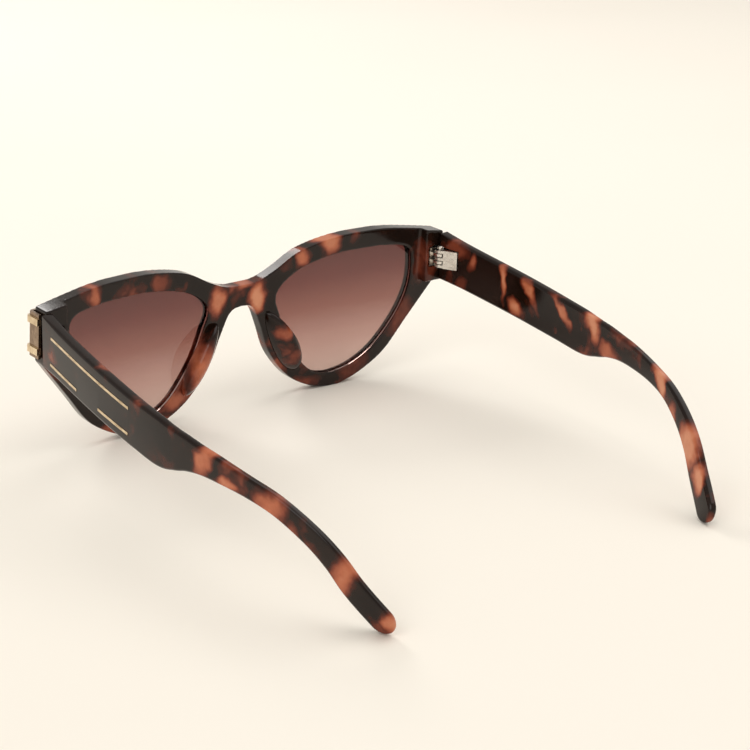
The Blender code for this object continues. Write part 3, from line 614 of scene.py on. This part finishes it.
def groove(ends):
    """The channel of one metal inlay in a temple's outer face."""
    start, end = (Vector((TEMPLE_FRONT + along, JOINT_Z + height)) for along, height in ends)
    along = (end - start).normalized()
    up = Vector((-along[1], along[0])) * (INLAY_WIDTH / 2 + GROOVE_CLEAR)
    start, end = start - along * GROOVE_CLEAR, end + along * GROOVE_CLEAR
    bm = bmesh.new()
    rows = []
    for step in range(GROOVE_STEPS + 1):
        centre = start.lerp(end, step / GROOVE_STEPS)
        face = temple_x(centre[0]) + thickness_at(centre[0]) / 2
        floor, mouth = face - INLAY_DEPTH - GROOVE_CLEAR, face + GROOVE_REACH
        corners = [(floor, -1), (mouth, -1), (mouth, 1), (floor, 1)]
        rows.append([bm.verts.new((x, centre[0] + up[0] * s, centre[1] + up[1] * s)) for x, s in corners])
    skin(bm, rows)
    cap(bm, rows)
    return bm


def make_temple(side, word):
    """A polished temple, hollowed for the hinge leaf and grooved for its inlays."""
    temple = object_from(mirror(loft_temple(), side), word + "_polished_temple")
    cutters = [object_from(mirror(pocket(), side), "pocket")]
    cutters += [object_from(mirror(groove(ends), side), "groove") for ends in INLAYS.values()]
    boolean(temple, "DIFFERENCE", cutters)
    mesh = evaluated_mesh(temple)
    for cutter in cutters:
        bpy.data.objects.remove(cutter)
    made = link(bpy.data.objects.new(word + "_polished_temple", mesh))
    return shade(made, 38)


class Nodes:
    """A material's node tree, with short calls to add and join nodes."""

    def __init__(self, name):
        self.material = bpy.data.materials.new(name)
        self.material.use_nodes = True
        self.tree = self.material.node_tree
        self.shader = self.tree.nodes["Principled BSDF"]
        self.place = self.add("ShaderNodeTexCoord").outputs["Object"]

    def add(self, kind, **settings):
        """A new node with its settings."""
        node = self.tree.nodes.new(kind)
        for name, value in settings.items():
            setattr(node, name, value)
        return node

    def join(self, socket, value):
        """Gives a socket a value, or a link from another socket."""
        if isinstance(value, bpy.types.NodeSocket):
            self.tree.links.new(value, socket)
        else:
            socket.default_value = value

    def put(self, node, **values):
        """Sets or joins a node's inputs by name, with _ for a space."""
        for name, value in values.items():
            self.join(node.inputs[name.replace("_", " ")], value)

    def maths(self, operation, *values):
        """The result of a sum on numbers."""
        node = self.add("ShaderNodeMath", operation=operation)
        for socket, value in zip(node.inputs, values):
            self.join(socket, value)
        return node.outputs[0]

    def vector(self, operation, *values):
        """The result of a sum on vectors."""
        node = self.add("ShaderNodeVectorMath", operation=operation)
        for socket, value in zip(node.inputs, values):
            self.join(socket, value)
        return node.outputs["Value" if operation == "LENGTH" else "Vector"]

    def noise(self, scale, detail, place=None, output="Fac"):
        """Noise in object space, or at places that have been moved."""
        node = self.add("ShaderNodeTexNoise")
        self.put(node, Vector=place or self.place, Scale=scale, Detail=detail)
        return node.outputs[output]

    def blend(self, value, low, high, to_low, to_high, smooth=False):
        """A value from one range, moved to another."""
        node = self.add("ShaderNodeMapRange", interpolation_type="SMOOTHSTEP" if smooth else "LINEAR")
        self.put(node, Value=value, From_Min=low, From_Max=high, To_Min=to_low, To_Max=to_high)
        return node.outputs["Result"]

    def ramp(self, value, stops):
        """A colour for each value, between the stops."""
        node = self.add("ShaderNodeValToRGB")
        self.put(node, Fac=value)
        elements = node.color_ramp.elements
        while len(elements) < len(stops):
            elements.new(0.5)
        for element, (place, colour) in zip(elements, stops):
            element.position = place
            element.color = (*colour, 1)
        return node.outputs["Color"]

    def shades(self, value, dark, pale):
        """A colour between two, over most of a noise's values."""
        low, high = NOISE_SPAN
        return self.ramp(value, [(low, dark), (high, pale)])

    def bump(self, height, distance, strength):
        """Fine relief on the shader's surface."""
        node = self.add("ShaderNodeBump")
        self.put(node, Height=height, Distance=distance, Strength=strength)
        self.tree.links.new(node.outputs["Normal"], self.shader.inputs["Normal"])


def wandering(made):
    """Places moved by broad and then fine noise, so that what is drawn at them has wandering edges."""
    place = made.place
    for scale, reach in WARPS:
        moved = made.vector("SUBTRACT", made.noise(scale, 2, output="Color"), (0.5, 0.5, 0.5))
        place = made.vector("ADD", place, made.vector("MULTIPLY", moved, (reach, reach, reach)))
    return place


def leaned(made, away, lean):
    """A way from a patch's centre, with Y shifted as Z grows, so that the patch leans."""
    split = made.add("ShaderNodeSeparateXYZ")
    made.put(split, Vector=away)
    joined = made.add("ShaderNodeCombineXYZ")
    shifted = made.maths("MULTIPLY_ADD", split.outputs["Z"], -lean, split.outputs["Y"])
    made.put(joined, X=split.outputs["X"], Y=shifted, Z=split.outputs["Z"])
    return joined.outputs["Vector"]


def acetate(name, patches, base_y):
    """Polished tortoiseshell: dark brown with amber patches that fade out through red, at wandering edges."""
    made = Nodes(name)
    place = wandering(made)
    amber = None
    for (x, y, z), spread, lean, strength in patches:
        away = made.vector("SUBTRACT", place, (x, base_y + y, z))
        if lean:
            away = leaned(made, away, lean)
        away = made.vector("LENGTH", made.vector("DIVIDE", away, spread))
        patch = made.blend(away, PATCH_CORE, PATCH_EDGE, strength, 0.0, smooth=True)
        amber = patch if amber is None else made.maths("MAXIMUM", amber, patch)
    mottle = made.blend(made.noise(80, 3, place=place), 0.42, 0.78, 0.06, 0.64, smooth=True)
    grain = made.blend(made.noise(420, 3), *NOISE_SPAN, -0.04, 0.04)
    tone = made.maths("ADD", made.maths("MAXIMUM", amber, mottle), grain)
    made.put(made.shader, Base_Color=made.ramp(tone, BROWNS))
    made.put(made.shader, Roughness=made.blend(made.noise(260, 4), *NOISE_SPAN, 0.06, 0.12))
    made.put(made.shader, IOR=1.5, Specular_IOR_Level=0.30)
    made.bump(made.noise(900, 2), GRAIN_DEPTH, 0.25)
    return made.material


def lens_tint(name):
    """A brown tint that fades from dark at the top of the lens to pale pink at its bottom."""
    made = Nodes(name)
    split = made.add("ShaderNodeSeparateXYZ")
    made.put(split, Vector=made.place)
    soft = made.maths("MULTIPLY", made.maths("SUBTRACT", made.noise(30, 2), 0.5), 0.0015)
    height = made.maths("ADD", split.outputs["Z"], soft)
    share = made.blend(height, RIM_BOTTOM, RIM_BOTTOM + LENS_HEIGHT, 0.0, 1.0)
    made.put(made.shader, Base_Color=made.ramp(share, TINTS))
    made.put(made.shader, Roughness=made.blend(made.noise(200, 2), *NOISE_SPAN, 0.015, 0.03))
    made.put(made.shader, IOR=1.5, Transmission_Weight=1.0)
    return made.material


def brushing(made, stretch):
    """Fine brushing, and the tone that it and broader wear make together."""
    brush = made.noise(2400, 3, place=made.vector("MULTIPLY", made.place, stretch))
    wear = made.noise(380, 4)
    tone = made.maths("ADD", made.maths("MULTIPLY", brush, 0.5), made.maths("MULTIPLY", wear, 0.5))
    return brush, tone


def polish(made, colour, brush, tone, rough, smooth):
    """Finishes a metal with its colour, a roughness that follows its tone, and its brushing as relief."""
    made.put(made.shader, Base_Color=colour, Metallic=1.0)
    made.put(made.shader, Roughness=made.blend(tone, *NOISE_SPAN, rough, smooth))
    made.bump(brush, BRUSH_DEPTH, 0.35)
    return made.material


def metal(name, dark, pale, roughness, scratch):
    """Polished metal with fine brushing and a little wear."""
    made = Nodes(name)
    brush, tone = brushing(made, (1.0, scratch, 1.0))
    colour = made.shades(tone, dark, pale)
    return polish(made, colour, brush, tone, roughness * 1.35, roughness * 0.75)


def banded_metal(name):
    """Gold on the raised bands of a plaque, and darker, brushed bronze between them."""
    made = Nodes(name)
    split = made.add("ShaderNodeSeparateXYZ")
    made.put(split, Vector=made.place)
    off_middle = made.maths("ABSOLUTE", made.maths("SUBTRACT", split.outputs["Z"], JOINT_Z + PLAQUE_LIFT))
    off_band = made.maths("ABSOLUTE", made.maths("SUBTRACT", off_middle, BAND_SPACING / 2))
    band = made.blend(off_band, BAND_HEIGHT / 2, BAND_HEIGHT / 2 + BAND_FADE, 1.0, 0.0, smooth=True)
    brush, tone = brushing(made, (1.0, 1.0, 0.15))
    mixed = made.add("ShaderNodeMix", data_type="RGBA")
    made.join(mixed.inputs["Factor"], band)
    made.join(mixed.inputs[MIX_FIRST], made.shades(tone, (0.16, 0.105, 0.070), (0.40, 0.290, 0.200)))
    made.join(mixed.inputs[MIX_SECOND], made.shades(tone, (0.50, 0.370, 0.220), (0.92, 0.760, 0.530)))
    return polish(made, mixed.outputs[MIX_RESULT], brush, tone, 0.36, 0.20)


def finish(obj, material):
    """A new piece takes its only material."""
    obj.data.materials.clear()
    obj.data.materials.append(material)


def finish_node(name, material, width=0.0):
    """A CAD node keeps its shape and takes a better material and softened edges."""
    obj = frame["nodes"][name]
    if not obj.material_slots:
        obj.data.materials.append(material)
    for place in obj.material_slots:
        place.material = material
    if width:
        soft = obj.modifiers.new("edge", "BEVEL")
        soft.width = width
        soft.segments = 2
        soft.limit_method = "ANGLE"
        soft.angle_limit = math.radians(40)


def paper_floor():
    """A wide pale floor."""
    bpy.ops.mesh.primitive_plane_add(size=FLOOR_SIZE)
    floor = bpy.context.object
    floor.name = "floor"
    made = Nodes("paper")
    tone = made.noise(3, 2)
    made.put(made.shader, Base_Color=made.shades(tone, (0.93, 0.885, 0.80), (0.95, 0.91, 0.83)))
    made.put(made.shader, Roughness=made.blend(made.noise(40, 3), *NOISE_SPAN, 0.85, 0.95))
    floor.data.materials.append(made.material)


def surround():
    """A cream world that is brighter near the horizon than overhead."""
    world = bpy.data.worlds.new("surround")
    bpy.context.scene.world = world
    world.use_nodes = True
    nodes, links = world.node_tree.nodes, world.node_tree.links
    backdrop = nodes["Background"]
    backdrop.inputs["Color"].default_value = SURROUND
    direction = nodes.new("ShaderNodeTexCoord")
    split = nodes.new("ShaderNodeSeparateXYZ")
    links.new(direction.outputs["Generated"], split.inputs["Vector"])
    fade = nodes.new("ShaderNodeMapRange")
    fade.interpolation_type = "SMOOTHSTEP"
    links.new(split.outputs["Z"], fade.inputs["Value"])
    for name, value in SURROUND_FADE:
        fade.inputs[name].default_value = value
    links.new(fade.outputs["Result"], backdrop.inputs["Strength"])


def lamps():
    """Soft square lights, all pointing at the glasses."""
    for name, place, size, power, colour in LIGHTS:
        light = bpy.data.lights.new(name, "AREA")
        light.size = size
        light.energy = power
        light.color = colour
        lamp = link(bpy.data.objects.new(name, light))
        lamp.location = place
        lamp.rotation_euler = (AIM - Vector(place)).to_track_quat("-Z", "Y").to_euler()


def camera():
    """The camera, and plain sRGB colours."""
    data = bpy.data.cameras.new("camera")
    data.sensor_width = CAMERA_SENSOR
    data.lens = CAMERA_LENS
    made = link(bpy.data.objects.new("camera", data))
    turn = CAMERA_FORWARD.to_track_quat("-Z", "Y").to_matrix().to_4x4()
    made.matrix_world = Matrix.Translation(CAMERA_PLACE) @ turn @ Matrix.Rotation(CAMERA_ROLL, 4, "Z")
    bpy.context.scene.camera = made
    bpy.context.scene.view_settings.view_transform = "Standard"


camera()
paper_floor()
surround()
lamps()
steel = metal("satin_steel", (0.50, 0.46, 0.41), (0.86, 0.82, 0.77), 0.26, 0.12)
gold = metal("pale_gold", (0.38, 0.27, 0.16), (0.88, 0.72, 0.50), 0.24, 0.2)
bands = banded_metal("banded_gold")
tint = lens_tint("gradient_tint")

front = make_front()
finish(front, acetate("front_acetate", FRONT_PATCHES, FRONT_Y))
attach(front, "front")
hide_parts("front_frame")

SIDES = (
    (1, "left", LEFT_PATCHES, LEFT_PAD_PATCHES),
    (-1, "right", RIGHT_PATCHES, RIGHT_PAD_PATCHES),
)
for turn_side, side_word, temple_patches, pad_patches in SIDES:
    lens = make_lens(turn_side, side_word)
    finish(lens, tint)
    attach(lens, "front")
    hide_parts(side_word + "_lens")
    pad = make_pad(turn_side, side_word)
    finish(pad, acetate(side_word + "_pad_acetate", pad_patches, FRONT_Y))
    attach(pad, "front")
    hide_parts(side_word + "_nose_pad")
    temple = make_temple(turn_side, side_word)
    finish(temple, acetate(side_word + "_temple_acetate", temple_patches, TEMPLE_FRONT))
    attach(temple, side_word + "_arm")
    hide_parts(side_word + "_temple")
    for part in ("front_hinge_leaf", "temple_hinge_leaf", "hinge_screw"):
        finish_node(f"{side_word}_{part}", steel, HINGE_SOFT)
    finish_node(side_word + "_core_wire", steel)
    finish_node(side_word + "_endpiece_plaque", bands, PLAQUE_SOFT)
    for inlay in INLAYS:
        finish_node(f"{side_word}_inlay_{inlay}", gold, INLAY_SOFT)

bpy.context.view_layer.update()
